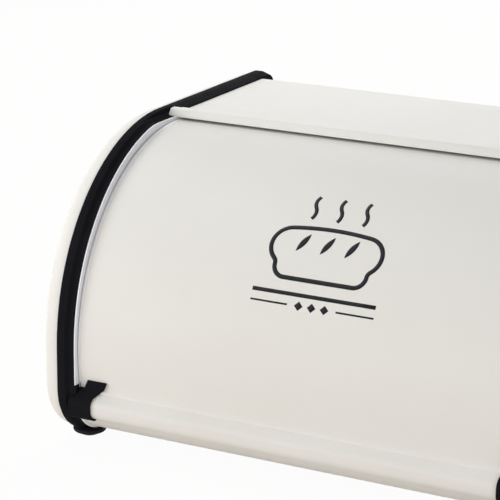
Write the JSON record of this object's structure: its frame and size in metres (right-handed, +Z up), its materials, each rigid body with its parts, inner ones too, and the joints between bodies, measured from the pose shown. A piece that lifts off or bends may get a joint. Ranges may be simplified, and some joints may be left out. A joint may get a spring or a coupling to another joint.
{
  "type": "bread box",
  "caption": "Roll-top bread box: cream sheet case between black-edged ends, with a quarter-round lid that swings up and back inside on side pivots.",
  "frame": {"origin": "middle of the footprint on the floor, under the feet", "axes": "+X to the right across the width, -Y to the front where the pull lip is, +Z up"},
  "size_m": [0.37, 0.3, 0.208],
  "materials": {
    "cream_paint": "satin warm white powder coat",
    "black_plastic": "satin moulded black",
    "zinc_steel": "bright zinc plate",
    "nylon": "natural nylon",
    "black_rubber": "matt black rubber"
  },
  "bodies": {
    "case": {"body_wrap": "cream_paint", "left_edge_frame": "black_plastic", "left_end_panel": "cream_paint", "left_inner_cheek": "cream_paint", "left_cheek_screws": "zinc_steel", "left_pivot_stud": "zinc_steel", "left_pivot_washer": "nylon", "left_push_nut": "zinc_steel", "right_edge_frame": "black_plastic", "right_end_panel": "cream_paint", "right_inner_cheek": "cream_paint", "right_cheek_screws": "zinc_steel", "right_pivot_stud": "zinc_steel", "right_pivot_washer": "nylon", "right_push_nut": "zinc_steel", "front_left_foot": "black_rubber", "front_right_foot": "black_rubber", "rear_left_foot": "black_rubber", "rear_right_foot": "black_rubber"},
    "lid": {"lid_skin": "cream_paint", "left_lid_arm": "cream_paint", "left_lip_clip": "black_plastic", "left_pivot_bush": "nylon", "right_lid_arm": "cream_paint", "right_lip_clip": "black_plastic", "right_pivot_bush": "nylon"}
  },
  "joints": [
    {"name": "lid_hinge", "type": "hinge", "parent": "case", "child": "lid", "pos_m": [0, -0.0105, 0.0685], "axis": [-1, 0, 0], "range_deg": [0, 98]}
  ]
}
